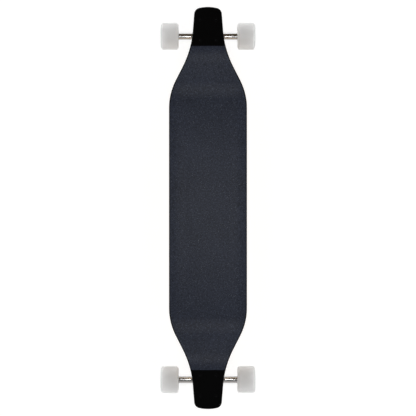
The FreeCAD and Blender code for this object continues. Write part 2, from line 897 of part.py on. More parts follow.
# Kingpin stack, drawn along the kingpin from the ring's middle to the nut
def make_kingpin_stack(name, end):
    lean = 180 - size.steering_angle
    body = new_body(f"{name}_kingpin")
    sketch = new_sketch(body, "head_hex", "XY_Plane", (0, 0, -head_k))
    draw_hexagon(sketch, size.kingpin_head_width)
    pad(body, "head", sketch, size.kingpin_head_height, reverse=True)
    sketch = new_sketch(body, "shank_side", "XZ_Plane")
    tail = seat_k + size.kingpin_nut_height + size.kingpin_collar_height + size.kingpin_tail
    bevel = size.kingpin_tail / 2
    draw(sketch, [
        (0, -head_k),
        (kingpin_radius, -head_k),
        (kingpin_radius, tail - bevel),
        (kingpin_radius - bevel, tail),
        (0, tail),
    ])
    revolve(body, "shank", sketch, "V_Axis")
    place_in_truck(body, end, ring_point, lean)

    thread = kingpin_radius + size.thread_clearance
    body = nut(f"{name}_kingpin_nut", size.kingpin_head_width, size.kingpin_nut_height,
               size.kingpin_collar_diameter, size.kingpin_collar_height, thread, seat_k)
    place_in_truck(body, end, ring_point, lean)

    bore = kingpin_radius + size.bushing_clearance
    big = size.bushing_diameter / 2
    small = size.bushing_small_diameter / 2
    soft = size.bushing_rounding
    barrel = turned(f"{name}_boardside_bushing", [
        (bore, -bushing_far),
        (big - soft, -bushing_far, soft, 1),
        (big, soft - bushing_far),
        (big, -bushing_near),
        (bore, -bushing_near),
    ])
    place_in_truck(barrel, end, ring_point, lean)
    cone = turned(f"{name}_roadside_bushing", [
        (bore, bushing_near),
        (big, bushing_near),
        (big, bushing_near + size.bushing_recess),
        (small, bushing_far - soft, soft, 1),
        (small - soft, bushing_far),
        (bore, bushing_far),
    ])
    place_in_truck(cone, end, ring_point, lean)

    for label, radius, way in (("boardside_washer", big, -1), ("roadside_washer", small, 1)):
        inside = radius + size.recess_clearance
        rim = inside + size.washer_rim_width
        lip = bushing_far - size.washer_rim_height
        washer = turned(f"{name}_{label}", [
            (bore, bushing_far * way),
            (inside, bushing_far * way),
            (inside, lip * way),
            (rim, lip * way),
            (rim, seat_k * way),
            (bore, seat_k * way),
        ])
        place_in_truck(washer, end, ring_point, lean)


# Axle, its nuts and its speed rings
def make_axle_set(name, end):
    nut_x = wheel_x + core_half + size.speed_ring_thickness
    tip = nut_x + size.axle_nut_height + size.axle_collar_height + size.axle_tail
    bevel = size.axle_tail / 2
    body = lathe(f"{name}_axle", [[
        (-tip, 0),
        (tip, 0),
        (tip, axle_radius - bevel),
        (tip - bevel, axle_radius),
        (bevel - tip, axle_radius),
        (-tip, axle_radius - bevel),
    ]])
    place_in_truck(body, end)

    thread = axle_radius + size.thread_clearance
    body = nut(f"{name}_axle_nuts", size.axle_nut_width, size.axle_nut_height,
               size.axle_collar_diameter, size.axle_collar_height, thread, nut_x)
    mirror(body, "XY_Plane")
    place(body, 0, end * axle_y, wheel_radius, Vector(0, 1, 0), 90)

    rings = []
    for start in (hanger_end, wheel_x + core_half):
        rings.append(box(start, start + size.speed_ring_thickness, inner_bore, size.speed_ring_diameter / 2))
    body = lathe(f"{name}_speed_rings", rings)
    mirror(body, "YZ_Plane")
    place_in_truck(body, end)


# Bolts and nuts that hold a truck to the deck
def make_mounting_hardware(name, end):
    shank = size.bolt_diameter / 2
    nut_top = size.deck_thickness + size.plate_thickness
    length = nut_top + size.bolt_nut_height + size.bolt_collar_height + size.bolt_tail
    body = turned(f"{name}_mounting_bolts", [
        (0, -length),
        (shank, -length),
        (shank, -size.bolt_head_height),
        (size.bolt_head_diameter / 2, 0),
        (0, 0),
    ])
    sketch = new_sketch(body, "socket_hex", "XY_Plane")
    draw_hexagon(sketch, size.bolt_socket_width)
    pocket(body, "socket", sketch, size.bolt_socket_depth)
    pattern(body, "set", None, BOLT_SPREAD)
    place(body, -bolt_x, bolt_y(end), deck_top)

    thread = shank + size.thread_clearance
    body = nut(f"{name}_mounting_nuts", size.bolt_nut_width, size.bolt_nut_height,
               size.bolt_collar_diameter, size.bolt_collar_height, thread, -nut_top, -1)
    pattern(body, "set", None, BOLT_SPREAD)
    place(body, -bolt_x, bolt_y(end), deck_top)


# Wheels and bearings
def make_wheel(name, end, side):
    half = size.wheel_width / 2
    core_radius = size.core_diameter / 2
    mouth = size.mouth_diameter / 2
    edge = size.lip_edge_radius
    right = [
        (core_half, core_radius),
        (core_half, core_radius + edge),
        (half - edge, mouth, edge, 1),
        (half, mouth + edge),
        (half, size.lip_diameter / 2, size.lip_rounding, 1),
        (size.tread_width / 2, wheel_radius),
    ]
    left = [(-x, r) for x, r, *_ in reversed(right)]
    left[0] += (size.lip_rounding, 1)
    left[2] += (edge, 1)
    pieces = [lathe(f"{name}_tyre", [right + left])]

    seat = size.bearing_diameter / 2
    gap = size.spacer_length / 2
    shoulder = size.core_shoulder_diameter / 2
    pieces.append(lathe(f"{name}_core", [[
        (-core_half, seat),
        (-gap, seat),
        (-gap, shoulder),
        (gap, shoulder),
        (gap, seat),
        (core_half, seat),
        (core_half, core_radius),
        (-core_half, core_radius),
    ]]))

    track = size.ball_diameter / 2 + size.ball_clearance
    outer_bore = size.outer_ring_bore / 2
    inner_top = size.inner_ring_diameter / 2
    outer_rise = outer_bore - ball_pitch
    inner_drop = ball_pitch - inner_top
    outer_notch = (track * track - outer_rise * outer_rise).sqrt()
    inner_notch = (track * track - inner_drop * inner_drop).sqrt()
    outer_rings = []
    inner_rings = []
    shields = []
    for way in (-1, 1):
        centre = way * ball_x
        low = centre - size.bearing_width / 2
        high = centre + size.bearing_width / 2
        outer_rings.append([
            (low, outer_bore),
            (centre - outer_notch, outer_bore, track, -1),
            (centre + outer_notch, outer_bore),
            (high, outer_bore),
            (high, seat),
            (low, seat),
        ])
        inner_rings.append([
            (low, inner_bore),
            (high, inner_bore),
            (high, inner_top),
            (centre + inner_notch, inner_top, track, -1),
            (centre - inner_notch, inner_top),
            (low, inner_top),
        ])
        for face, inward in ((low, 1), (high, -1)):
            near = face + inward * size.shield_recess
            far = near + inward * size.shield_thickness
            shields.append(box(near, far, inner_top + size.shield_gap, outer_bore))
    pieces.append(lathe(f"{name}_bearing_outer_rings", outer_rings))
    pieces.append(lathe(f"{name}_bearing_inner_rings", inner_rings))
    pieces.append(lathe(f"{name}_bearing_shields", shields))
    pieces.append(lathe(f"{name}_bearing_spacer", [box(-gap, gap, inner_bore, size.spacer_diameter / 2)]))

    balls = new_body(f"{name}_bearing_balls")
    radius = size.ball_diameter / 2
    sketch = new_sketch(balls, "half_ball", "XY_Plane", (ball_x, ball_pitch, 0))
    draw(sketch, [(-radius, 0), (radius, 0, radius, 1), (0, radius, radius, 1)])
    ball = revolve(balls, "ball", sketch)
    ring = balls.newObject("PartDesign::PolarPattern", f"{name}_ball_ring")
    ring.Originals = [ball]
    ring.Axis = (origin_part(balls, "X_Axis"), [""])
    ring.Angle = 360
    bind(ring, "Occurrences", size.ball_count)
    balls.Tip = ring
    mirror(balls, "YZ_Plane")
    pieces.append(balls)
    for body in pieces:
        place(body, side * wheel_x, end * axle_y, wheel_radius)


make_deck()
make_grip()
for truck, end in ENDS:
    make_baseplate(truck, end)
    make_pivot_cup(truck, end)
    make_hanger(truck, end)
    make_kingpin_stack(truck, end)
    make_axle_set(truck, end)
    make_mounting_hardware(truck, end)
    for hand, side in (("left", -1), ("right", 1)):
        make_wheel(f"{truck}_{hand}", end, side)
doc.recompute()

# Nothing is written unless every object of the document came out whole.
faults = [item.Name for item in doc.Objects if "Invalid" in item.State or "Error" in item.State]
faults += [label for label, body in nodes.items() if body.Shape.isNull() or not body.Shape.isValid()]
if faults:
    raise SystemExit(f"not whole: {faults}")
os.makedirs("parts", exist_ok=True)
for label, body in nodes.items():
    body.Shape.exportStep(f"parts/{label}.step")
    print(f"{label}: {len(body.Shape.Solids)} solids, {body.Shape.Volume:.0f} mm3")
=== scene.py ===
# %% [markdown]
# # Dressing a drop-deck longboard
# The board, its two trucks and its four wheels come from a CAD model as bare solids.
# Every solid already sits in its real place, in metres, with z = 0 on the floor and y towards the nose.
# This lesson gives each solid its finish, makes the few pieces that are better made in Blender, and
# lights the board for a picture from straight above.

# %% Load the bare board
import json
import math

import bmesh
import bpy
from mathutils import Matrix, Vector

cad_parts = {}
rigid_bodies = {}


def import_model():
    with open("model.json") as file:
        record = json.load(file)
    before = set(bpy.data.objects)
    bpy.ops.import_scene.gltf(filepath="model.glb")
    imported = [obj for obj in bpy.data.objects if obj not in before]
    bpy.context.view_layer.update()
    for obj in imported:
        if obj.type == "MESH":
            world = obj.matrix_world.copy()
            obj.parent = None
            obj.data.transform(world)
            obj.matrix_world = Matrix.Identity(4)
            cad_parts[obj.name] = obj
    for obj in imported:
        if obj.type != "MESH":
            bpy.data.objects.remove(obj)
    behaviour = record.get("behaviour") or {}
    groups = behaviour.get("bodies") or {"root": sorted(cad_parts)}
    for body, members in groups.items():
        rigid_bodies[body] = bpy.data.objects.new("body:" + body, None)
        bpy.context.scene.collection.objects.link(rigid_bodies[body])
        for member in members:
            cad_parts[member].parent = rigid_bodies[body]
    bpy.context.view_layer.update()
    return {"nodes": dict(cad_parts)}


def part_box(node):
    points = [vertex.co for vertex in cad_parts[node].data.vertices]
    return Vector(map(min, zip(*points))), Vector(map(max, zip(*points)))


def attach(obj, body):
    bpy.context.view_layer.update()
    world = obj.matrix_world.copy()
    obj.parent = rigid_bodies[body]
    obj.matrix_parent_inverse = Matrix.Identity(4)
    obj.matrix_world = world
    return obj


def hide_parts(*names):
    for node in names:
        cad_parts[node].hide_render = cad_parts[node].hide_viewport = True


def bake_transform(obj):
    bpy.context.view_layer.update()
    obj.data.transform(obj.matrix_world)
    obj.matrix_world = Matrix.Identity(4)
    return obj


for leftover in list(bpy.data.objects):
    bpy.data.objects.remove(leftover)
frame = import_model()
nodes = frame["nodes"]

# %% [markdown]
# ## The camera
# The picture is taken from straight above, with the nose at the top.
# A long lens far away would make the view flat, but the wheels, which lie lower than the deck, look a
# little smaller than they are, and that tells how far the camera was: about 2.8 metres over the deck.
# The field of view then follows from how much of the frame the deck fills.

# %% Set up the camera
DECK_TOP = 0.112
CAMERA_RISE = 2.8
HALF_VIEW = 0.5379
SENSOR = 36.0

scene = bpy.context.scene
camera = bpy.data.objects.new("overhead_camera", bpy.data.cameras.new("overhead_camera"))
scene.collection.objects.link(camera)
camera.location = (0, 0, DECK_TOP + CAMERA_RISE)
camera.data.sensor_width = SENSOR
camera.data.lens = SENSOR / 2 * CAMERA_RISE / HALF_VIEW
scene.camera = camera
scene.view_settings.view_transform = "Standard"
print("lens", round(camera.data.lens, 1), "mm at", tuple(camera.location))

# %% [markdown]
# ## A short way to write shaders
# A finish is a net of shader nodes, and wiring one node at a time hides the idea behind it.
# So a `Wire` stands for one output, and adding or multiplying wires puts Math nodes into the tree.
# A `Tree` makes any other node from its type, its settings and what goes into its sockets.

# %% Wires
class Wire:
    """One output of a node. Arithmetic on it adds Math nodes to the same tree."""

    def __init__(self, tree, socket):
        self.tree = tree
        self.socket = socket

    def __add__(self, other):
        return self.tree.maths("ADD", self, other)

    def __radd__(self, other):
        return self.tree.maths("ADD", other, self)

    def __sub__(self, other):
        return self.tree.maths("SUBTRACT", self, other)

    def __rsub__(self, other):
        return self.tree.maths("SUBTRACT", other, self)

    def __mul__(self, other):
        return self.tree.maths("MULTIPLY", self, other)

    def __rmul__(self, other):
        return self.tree.maths("MULTIPLY", other, self)

    def __truediv__(self, other):
        return self.tree.maths("DIVIDE", self, other)

    def __mod__(self, other):
        return self.tree.maths("MODULO", self, other)

    def __abs__(self):
        return self.tree.maths("ABSOLUTE", self)

    def root(self):
        return self.tree.maths("SQRT", self)

    def floor(self):
        return self.tree.maths("FLOOR", self)

    def between(self, low, high):
        return self.tree.maths("MAXIMUM", self.tree.maths("MINIMUM", self, high), low)

    def step(self, start, end):
        """Goes smoothly from 0 where the wire is at start to 1 where it is at end."""
        sockets = {"Value": self, "From Min": start, "From Max": end}
        return self.tree.node("ShaderNodeMapRange", {"interpolation_type": "SMOOTHSTEP"}, sockets)


print("Wire: arithmetic that adds Math nodes")

# %% Trees
class Tree:
    """A node tree, with one method that adds any node."""

    def __init__(self, node_tree):
        self.node_tree = node_tree
        node_tree.nodes.clear()

    @staticmethod
    def find(sockets, key):
        if isinstance(key, int):
            return sockets[key]
        named = [socket for socket in sockets if key in (socket.identifier, socket.name)]
        exact = [socket for socket in named if socket.identifier == key]
        return (exact or named)[0]

    def feed(self, socket, value):
        if isinstance(value, Wire):
            self.node_tree.links.new(value.socket, socket)
        elif socket.type == "RGBA":
            socket.default_value = (*value, 1.0)
        else:
            socket.default_value = value

    def node(self, kind, settings=None, sockets=None, output=0):
        made = self.node_tree.nodes.new(kind)
        for name, value in (settings or {}).items():
            if name == "stops":
                ramp = made.color_ramp.elements
                ramp[0].position, ramp[0].color = value[0][0], (*value[0][1], 1.0)
                ramp[-1].position, ramp[-1].color = value[-1][0], (*value[-1][1], 1.0)
                for place, colour in value[1:-1]:
                    ramp.new(place).color = (*colour, 1.0)
            else:
                setattr(made, name, value)
        for key, value in (sockets or {}).items():
            self.feed(self.find(made.inputs, key), value)
        return Wire(self, self.find(made.outputs, output)) if len(made.outputs) else None

    def maths(self, operation, *values):
        return self.node("ShaderNodeMath", {"operation": operation}, dict(enumerate(values)))

    def split(self, vector):
        """The three parts of a vector."""
        parts = {"Vector": vector}
        return [self.node("ShaderNodeSeparateXYZ", {}, parts, axis) for axis in "XYZ"]

    def join(self, x, y, z):
        return self.node("ShaderNodeCombineXYZ", sockets={"X": x, "Y": y, "Z": z})

    def mix(self, share, first, second):
        """A colour that goes from first to second as share goes from 0 to 1."""
        sockets = {"Factor_Float": share, "A_Color": first, "B_Color": second}
        return self.node("ShaderNodeMix", {"data_type": "RGBA"}, sockets, "Result_Color")

    def noise(self, place, scale, detail):
        sockets = {"Vector": place, "Scale": scale, "Detail": detail}
        return self.node("ShaderNodeTexNoise", {}, sockets, "Fac")

    def stretched(self, place, x, y, z):
        """The same place with each axis scaled, so that a round pattern becomes long."""
        return self.node("ShaderNodeMapping", {}, {"Vector": place, "Scale": (x, y, z)})


print("Tree: any node from its type, settings and sockets")

# %% [markdown]
# ## Floor and studio light
# The board stands on a white sweep, so that only its own colours speak.
# A floor lit up to pure white would throw too much light on the board, so a plain soft light is used
# and the floor adds a glow of its own, which only the camera, mirrors and clear things see. The board's
# shadow stays on it.
# Milky wheels look best with light from the sides, so the room has bright low walls and a dim ceiling.
# The polished trucks need something dark to reflect too: a brownish card beyond the nose and a grey one
# beyond the tail draw the dark edges along the bars. A narrow strip lamp over the middle of the board
# gives the grip its sheen and draws a short highlight on each bar.

# %% Floor
FLOOR_HALF = 30.0
FLOOR_GLOW = 0.765
SEEN_FLOOR = (0.37, 0.37, 0.37)
BOUNCE_FLOOR = (0.80, 0.80, 0.80)

floor_mesh = bpy.data.meshes.new("floor")
corners = [(-1, -1), (1, -1), (1, 1), (-1, 1)]
floor_mesh.from_pydata([(x * FLOOR_HALF, y * FLOOR_HALF, 0) for x, y in corners], [], [(0, 1, 2, 3)])
floor = bpy.data.objects.new("floor", floor_mesh)
scene.collection.objects.link(floor)

floor_paint = bpy.data.materials.new("white_sweep")
floor_paint.use_nodes = True
sweep = Tree(floor_paint.node_tree)
looks = ("Is Camera Ray", "Is Glossy Ray", "Is Transmission Ray")
straight, mirrored, through = [sweep.node("ShaderNodeLightPath", output=look) for look in looks]
in_view = (straight + mirrored + through).between(0, 1)
glow = sweep.node("ShaderNodeEmission", {}, {"Color": (1, 1, 1), "Strength": FLOOR_GLOW})
shown = sweep.node("ShaderNodeBsdfDiffuse", {}, {"Color": SEEN_FLOOR})
lit = sweep.node("ShaderNodeAddShader", {}, {0: glow, 1: shown})
bounce = sweep.node("ShaderNodeBsdfDiffuse", {}, {"Color": BOUNCE_FLOOR})
either = sweep.node("ShaderNodeMixShader", {}, {"Fac": in_view, 1: bounce, 2: lit})
sweep.node("ShaderNodeOutputMaterial", {}, {"Surface": either})
floor_mesh.materials.append(floor_paint)
print("floor", 2 * FLOOR_HALF, "m wide, glow", FLOOR_GLOW)

# %% Room
ROOM_LEVEL = 2.8
ROOM_STOPS = [
    (0.0, (1.0, 1.0, 1.0)),
    (0.28, (0.95, 0.95, 0.95)),
    (0.45, (0.36, 0.36, 0.36)),
    (0.70, (0.27, 0.27, 0.27)),
    (0.85, (0.08, 0.08, 0.08)),
    (1.0, (0.07, 0.07, 0.07)),
]
NOSE_CARD = (0.034, 0.025, 0.016)
NOSE_CARD_X = (0.2, 0.4)
NOSE_CARD_Y = (-0.12, 0.04)
NOSE_CARD_Z = (0.10, 0.22)
TAIL_CARD = (0.16, 0.15, 0.14)
TAIL_CARD_X = (0.25, 0.45)
TAIL_CARD_Y = (-0.62, -0.78)

world = bpy.data.worlds.new("studio")
world.use_nodes = True
scene.world = world
room = Tree(world.node_tree)
look_x, look_y, look_z = room.split(room.node("ShaderNodeTexCoord", output="Generated"))
walls = room.node("ShaderNodeValToRGB", {"stops": ROOM_STOPS}, {"Fac": look_z}, "Color")
beyond_nose = look_y.step(*NOSE_CARD_Y) * look_z.step(*NOSE_CARD_Z)
beyond_nose = beyond_nose * (1 - abs(look_x).step(*NOSE_CARD_X))
beyond_tail = look_y.step(*TAIL_CARD_Y) * (1 - abs(look_x).step(*TAIL_CARD_X))
dimmed = room.mix(beyond_nose, room.mix(beyond_tail, walls, TAIL_CARD), NOSE_CARD)
sky = room.node("ShaderNodeBackground", {}, {"Color": dimmed, "Strength": ROOM_LEVEL})
room.node("ShaderNodeOutputWorld", {}, {"Surface": sky})
print("room:", len(ROOM_STOPS), "stops from walls to ceiling, two dim cards, level", ROOM_LEVEL)

# %% Lamp
LAMP_WIDE = 0.13
LAMP_LONG = 0.6
LAMP_RISE = 1.6
LAMP_POWER = 3.0

lamp_data = bpy.data.lights.new("softbox", "AREA")
lamp_data.shape = "RECTANGLE"
lamp_data.size = LAMP_WIDE
lamp_data.size_y = LAMP_LONG
lamp_data.energy = LAMP_POWER
lamp = bpy.data.objects.new("softbox", lamp_data)
lamp.location = (0, 0, LAMP_RISE)
lamp.visible_camera = False
scene.collection.objects.link(lamp)
print("softbox", LAMP_WIDE, "by", LAMP_LONG, "m at", LAMP_RISE, "m,", LAMP_POWER, "W")

# %% [markdown]
# ## What a finish is
# Every surface of the board gets a finish: a material whose tree ends in one Principled shader, which
# can be lacquer, wood, metal or milky plastic. The solids sit in their real places, so a pattern that
# reads Object coordinates has its sizes in metres and runs on from one solid to the next.

# %% Finishes
class Finish(Tree):
    """A material that ends in one Principled shader."""

    def __init__(self, name):
        self.material = bpy.data.materials.new(name)
        self.material.use_nodes = True
        super().__init__(self.material.node_tree)
        self.shader = self.node_tree.nodes.new("ShaderNodeBsdfPrincipled")
        end = self.node_tree.nodes.new("ShaderNodeOutputMaterial")
        self.node_tree.links.new(self.shader.outputs[0], end.inputs["Surface"])
        self.place = self.node("ShaderNodeTexCoord", output="Object")

    def bump(self, height, depth, strength):
        sockets = {"Height": height, "Distance": depth, "Strength": strength}
        return self.node("ShaderNodeBump", {}, sockets)

    def give(self, **sockets):
        """Sets or links sockets of the Principled shader; Base_Color means Base Color."""
        for name, value in sockets.items():
            self.feed(self.find(self.shader.inputs, name.replace("_", " ")), value)


print("Finish: a tree that ends in a Principled shader")

# %% [markdown]
# ## The deck: black lacquer over maple plies
# The deck is seven veneers of maple, pressed in a mould with a dropped middle and rails that curl up.
# The top is lacquered black, and the lacquer runs over the rounded upper edge onto the second veneer.
# The sawn rails show the other veneers as thin stripes, and the underside is bare maple under a clear
# coat.
# A picture of stripes would slide off the bends, so the shader works out how deep each point lies
# under the deck's top: it repeats the mould's own line, two bends and a slope, from its real sizes.

# %% Depth below the top of the deck
PLATFORM_END = 0.4145
BEND = 0.140
SLOPE = math.radians(16)
DROP = 0.025
TUB_FLAT = 0.058
TUB_RADIUS = 0.240
DECK_THICK = 0.011
PLIES = 7

bend_run = BEND * math.sin(SLOPE)
bend_fall = BEND * (1 - math.cos(SLOPE))
slope_run = (DROP - 2 * bend_fall) / math.tan(SLOPE)
ply = DECK_THICK / PLIES

deck = Finish("lacquer_over_maple")
x, y, z = deck.split(deck.place)
past = PLATFORM_END - abs(y)
upper = past.between(0, bend_run)
middle = (past - bend_run).between(0, slope_run)
lower = bend_run - (past - (bend_run + slope_run)).between(0, bend_run)
fall = BEND - (BEND**2 - upper * upper).root() + middle * math.tan(SLOPE)
fall = fall + (BEND**2 - lower * lower).root() - BEND * math.cos(SLOPE)
tilt = (upper + lower - bend_run) / BEND
curl = (abs(x) - TUB_FLAT).between(0, TUB_RADIUS)
rise = TUB_RADIUS - (TUB_RADIUS**2 - curl * curl).root()
depth = (DECK_TOP - fall + rise - z) * (1 - tilt * tilt).root()
print("ply", round(ply * 1000, 2), "mm; slope", round(slope_run * 1000, 1), "mm between bends")

# %% [markdown]
# Maple is pale and close-grained. Peeled veneer shows long, lazy figure along the board, fine streaks
# and tiny flecks, and each ply has its own tone; every second ply lies across the board, so its sawn
# edge is darker. Thin glue lines part the plies.
# Colours are easiest to choose as they look on a screen, so `seen` turns those into shader values.

# %% Maple face and ply edges
def seen(red, green, blue):
    """A colour as read on a screen, from 0 to 255, as the linear values that a shader takes."""
    shares = [part / 255 for part in (red, green, blue)]
    return tuple(s / 12.92 if s <= 0.04045 else ((s + 0.055) / 1.055) ** 2.4 for s in shares)


MAPLE_PALE = seen(228, 202, 164)
MAPLE_WARM = seen(204, 168, 124)
PLY_LONG = seen(219, 189, 148)
PLY_CROSS = seen(174, 133, 92)
GLUE = seen(92, 62, 40)
GROWTH_RINGS = 75.0
GROWTH_SWAY = 7.0
LATE_WOOD = (0.35, 0.96)
GLUE_EDGE = (0.42, 0.48)
LAST_PLY = PLIES - 0.01
UNDERSIDE = (-0.75, -0.95)

sway = deck.noise(deck.stretched(deck.place, 9, 1.3, 9), 1.0, 3.0)
growth = x * GROWTH_RINGS + sway * GROWTH_SWAY
ring = growth - growth.floor()
late_wood = ring.step(*LATE_WOOD) * (1 - ring.step(LATE_WOOD[1], 1.0))
streaks = deck.noise(deck.stretched(deck.place, 1400, 22, 1400), 1.0, 2.0)
flecks = deck.noise(deck.stretched(deck.place, 900, 160, 900), 1.0, 1.0).step(0.66, 0.76)
tone = late_wood * 0.55 + streaks * 0.5
maple = deck.mix(tone, MAPLE_PALE, MAPLE_WARM)
maple = deck.mix(flecks * 0.25, maple, PLY_CROSS)

layer = (depth / ply).between(0, LAST_PLY)
layer_number = layer.floor()
within = layer - layer_number
crosswise = layer_number % 2
edge_grain = deck.noise(deck.stretched(deck.place, 260, 60, 2600), 1.0, 2.0)
ply_edge = deck.mix(crosswise * 0.8 + edge_grain * 0.2, PLY_LONG, PLY_CROSS)
glue_line = abs(within - 0.5).step(*GLUE_EDGE)
ply_edge = deck.mix(glue_line * 0.7, ply_edge, GLUE)
facing_up = deck.split(deck.node("ShaderNodeTexCoord", output="Normal"))[2]
underneath = facing_up.step(*UNDERSIDE)
wood = deck.mix(underneath, ply_edge, maple)
print("maple: figure along y, plies striped by depth")

# %% [markdown]
# The lacquer on top is a thin satin black. It hides the colour of the wood but not all of its grain:
# the pores print through as faint lines, which a bump shows. Bump follows a height, so the streaks of
# the maple serve, with a noise for the pores that is stretched along the board too.

# %% Black lacquer
def wear_on(finish, *names):
    """Puts a finish on solids of the board."""
    for name in names:
        nodes[name].material_slots[0].material = finish.material
    print(finish.material.name, "on", len(names), "solids,", len(finish.node_tree.nodes), "shader nodes")


LACQUER = seen(3, 3, 3)
LACQUER_DUST = seen(9, 9, 10)
LACQUER_EDGE = (1.92, 2.0)

lacquered = 1 - layer.step(*LACQUER_EDGE)
clouds = deck.noise(deck.place, 14.0, 3.0)
specks = deck.noise(deck.place, 700.0, 2.0).step(0.64, 0.74)
black = deck.mix(clouds * 0.4 + specks * 0.1, LACQUER, LACQUER_DUST)
pores = deck.noise(deck.stretched(deck.place, 1100, 30, 1100), 1.0, 2.0)
sheen = lacquered * (0.40 + clouds * 0.14) + (1 - lacquered) * (0.34 + streaks * 0.16)
deck.give(
    Base_Color=deck.mix(lacquered, wood, black),
    Roughness=sheen,
    Specular_IOR_Level=0.02,
    Coat_Weight=lacquered * 0.04 + (1 - lacquered) * underneath * 0.5,
    Coat_Roughness=0.12,
    Normal=deck.bump(pores * 0.6 + streaks * 0.4, depth=0.00006, strength=0.6),
)
wear_on(deck, "deck")

# %% [markdown]
# ## The grip sheet
# Grip is a sheet of paper covered in sharp abrasive grains, glued on between the trucks. From above
# it is a dark blue-grey, a little cloudy, and a few grains that lie flat flash in the light.
# Modelling millions of grains would be hopeless, so cells half a millimetre wide stand for them: each
# cell gets its own tone and height, and one in a hundred is smooth enough to glint; its colour is also
# painted lighter, as a painted glint.

# %% Abrasive grit
GRIT_CELLS = 1900.0
GRIT_DARK = seen(18, 22, 31)
GRIT_LIGHT = seen(45, 50, 64)
GRIT_PAINTED_GLINT = seen(124, 128, 138)
FLASH_LUCK = (0.985, 0.995)

grip = Finish("abrasive_grit")
grain = {"Vector": grip.place, "Scale": GRIT_CELLS}
grain_gap = grip.node("ShaderNodeTexVoronoi", {}, grain, "Distance")
grain_look = grip.node("ShaderNodeTexVoronoi", {}, grain, "Color")
grain_tone, grain_luck, grain_lift = grip.split(grain_look)
drift = grip.noise(grip.place, 11.0, 3.0)
mottle = grip.noise(grip.place, 240.0, 3.0)
tone = (grain_tone * 0.5 + drift * 0.5 + mottle * 1.6 - 0.80).between(0, 1)
smooth_grain_and_painted_glint = grain_luck.step(*FLASH_LUCK)
# painted glint: the lucky grains are painted lighter, as well as made smoother below
gritty = grip.mix(smooth_grain_and_painted_glint * 0.7, grip.mix(tone, GRIT_DARK, GRIT_LIGHT), GRIT_PAINTED_GLINT)
grip.give(
    Base_Color=gritty,
    Roughness=0.90 - smooth_grain_and_painted_glint * 0.50,
    Specular_IOR_Level=0.04,
    Coat_Weight=0.26,
    Coat_Roughness=0.35,
    Normal=grip.bump((1 - grain_gap) * 0.6 + grain_lift * 0.6, depth=0.00035, strength=0.5),
)
wear_on(grip, "grip_tape")

# %% [markdown]
# ## The trucks: cast and polished aluminium
# A truck is two castings. The hanger, which carries the axle, is ground and polished; the baseplate
# keeps the fine skin of its mould and is only tumbled. Both are the same metal, so both are fully
# metallic, and the difference lies in roughness and bump: long soft polishing marks on one, small
# pits on the other.

# %% Polished hanger
ALLOY = (0.68, 0.68, 0.68)
ALLOY_DULL = (0.54, 0.54, 0.54)

hanger = Finish("polished_alloy")
haze = hanger.noise(hanger.place, 60.0, 3.0)
marks = hanger.noise(hanger.stretched(hanger.place, 14, 1500, 1500), 1.0, 2.0)
hanger.give(
    Base_Color=hanger.mix(haze * 0.5 + marks * 0.3, ALLOY, ALLOY_DULL),
    Metallic=1.0,
    Roughness=0.06 + haze * 0.05 + marks * 0.04,
    Normal=hanger.bump(marks * 0.5 + haze * 0.5, depth=0.00001, strength=0.4),
)
wear_on(hanger, "front_hanger", "rear_hanger")

# %% Tumbled baseplate
CAST = (0.60, 0.60, 0.60)
CAST_DARK = (0.42, 0.42, 0.42)

baseplate = Finish("tumbled_casting")
skin = baseplate.noise(baseplate.place, 1500.0, 3.0)
pits = baseplate.noise(baseplate.place, 520.0, 2.0).step(0.60, 0.72)
patches = baseplate.noise(baseplate.place, 45.0, 3.0)
baseplate.give(
    Base_Color=baseplate.mix(patches * 0.5 + pits * 0.5, CAST, CAST_DARK),
    Metallic=1.0,
    Roughness=0.36 + skin * 0.14 + patches * 0.10,
    Normal=baseplate.bump(skin * 0.5 - pits * 0.5, depth=0.00012, strength=0.7),
)
wear_on(baseplate, "front_baseplate", "rear_baseplate")

# %% [markdown]
# ## Steel fittings
# Axles, kingpins, washers, nuts and speed rings are steel with a thin zinc plate: bright, slightly
# cloudy, with crystals a millimetre or two wide. The bolts that pass through the deck are blackened
# instead, so that they vanish in the lacquer, and they are rubbed a little brighter in places.

# %% Zinc plate
ENDS = {"front": 1, "rear": -1}
ZINC = (0.64, 0.65, 0.67)
ZINC_DULL = (0.47, 0.48, 0.49)
ZINC_CRYSTALS = 900.0
ZINC_PIECES = (
    "axle", "axle_nuts", "speed_rings", "kingpin", "kingpin_nut", "boardside_washer", "roadside_washer")

zinc = Finish("zinc_plate")
crystal_cells = {"Vector": zinc.place, "Scale": ZINC_CRYSTALS}
crystals = zinc.node("ShaderNodeTexVoronoi", {}, crystal_cells, "Color")
crystal_tone, crystal_gloss = zinc.split(crystals)[:2]
cloudy = zinc.noise(zinc.place, 160.0, 3.0)
zinc.give(
    Base_Color=zinc.mix(crystal_tone * 0.35 + cloudy * 0.45, ZINC, ZINC_DULL),
    Metallic=1.0,
    Roughness=0.22 + crystal_gloss * 0.08 + cloudy * 0.14,
    Normal=zinc.bump(cloudy, depth=0.00003, strength=0.5),
)
wear_on(zinc, *[f"{end}_{piece}" for end in ENDS for piece in ZINC_PIECES])

# %% Blackened steel
OXIDE = seen(5, 5, 6)
OXIDE_RUBBED = seen(18, 18, 19)

oxide = Finish("blackened_steel")
rub = oxide.noise(oxide.place, 420.0, 3.0).step(0.52, 0.72)
oxide.give(
    Base_Color=oxide.mix(rub * 0.5, OXIDE, OXIDE_RUBBED),
    Metallic=0.2,
    Roughness=0.48 - rub * 0.12,
    Specular_IOR_Level=0.06,
    Normal=oxide.bump(oxide.noise(oxide.place, 1800.0, 2.0), depth=0.00004, strength=0.5),
)
wear_on(oxide, *[f"{end}_mounting_{piece}" for end in ENDS for piece in ("bolts", "nuts")])
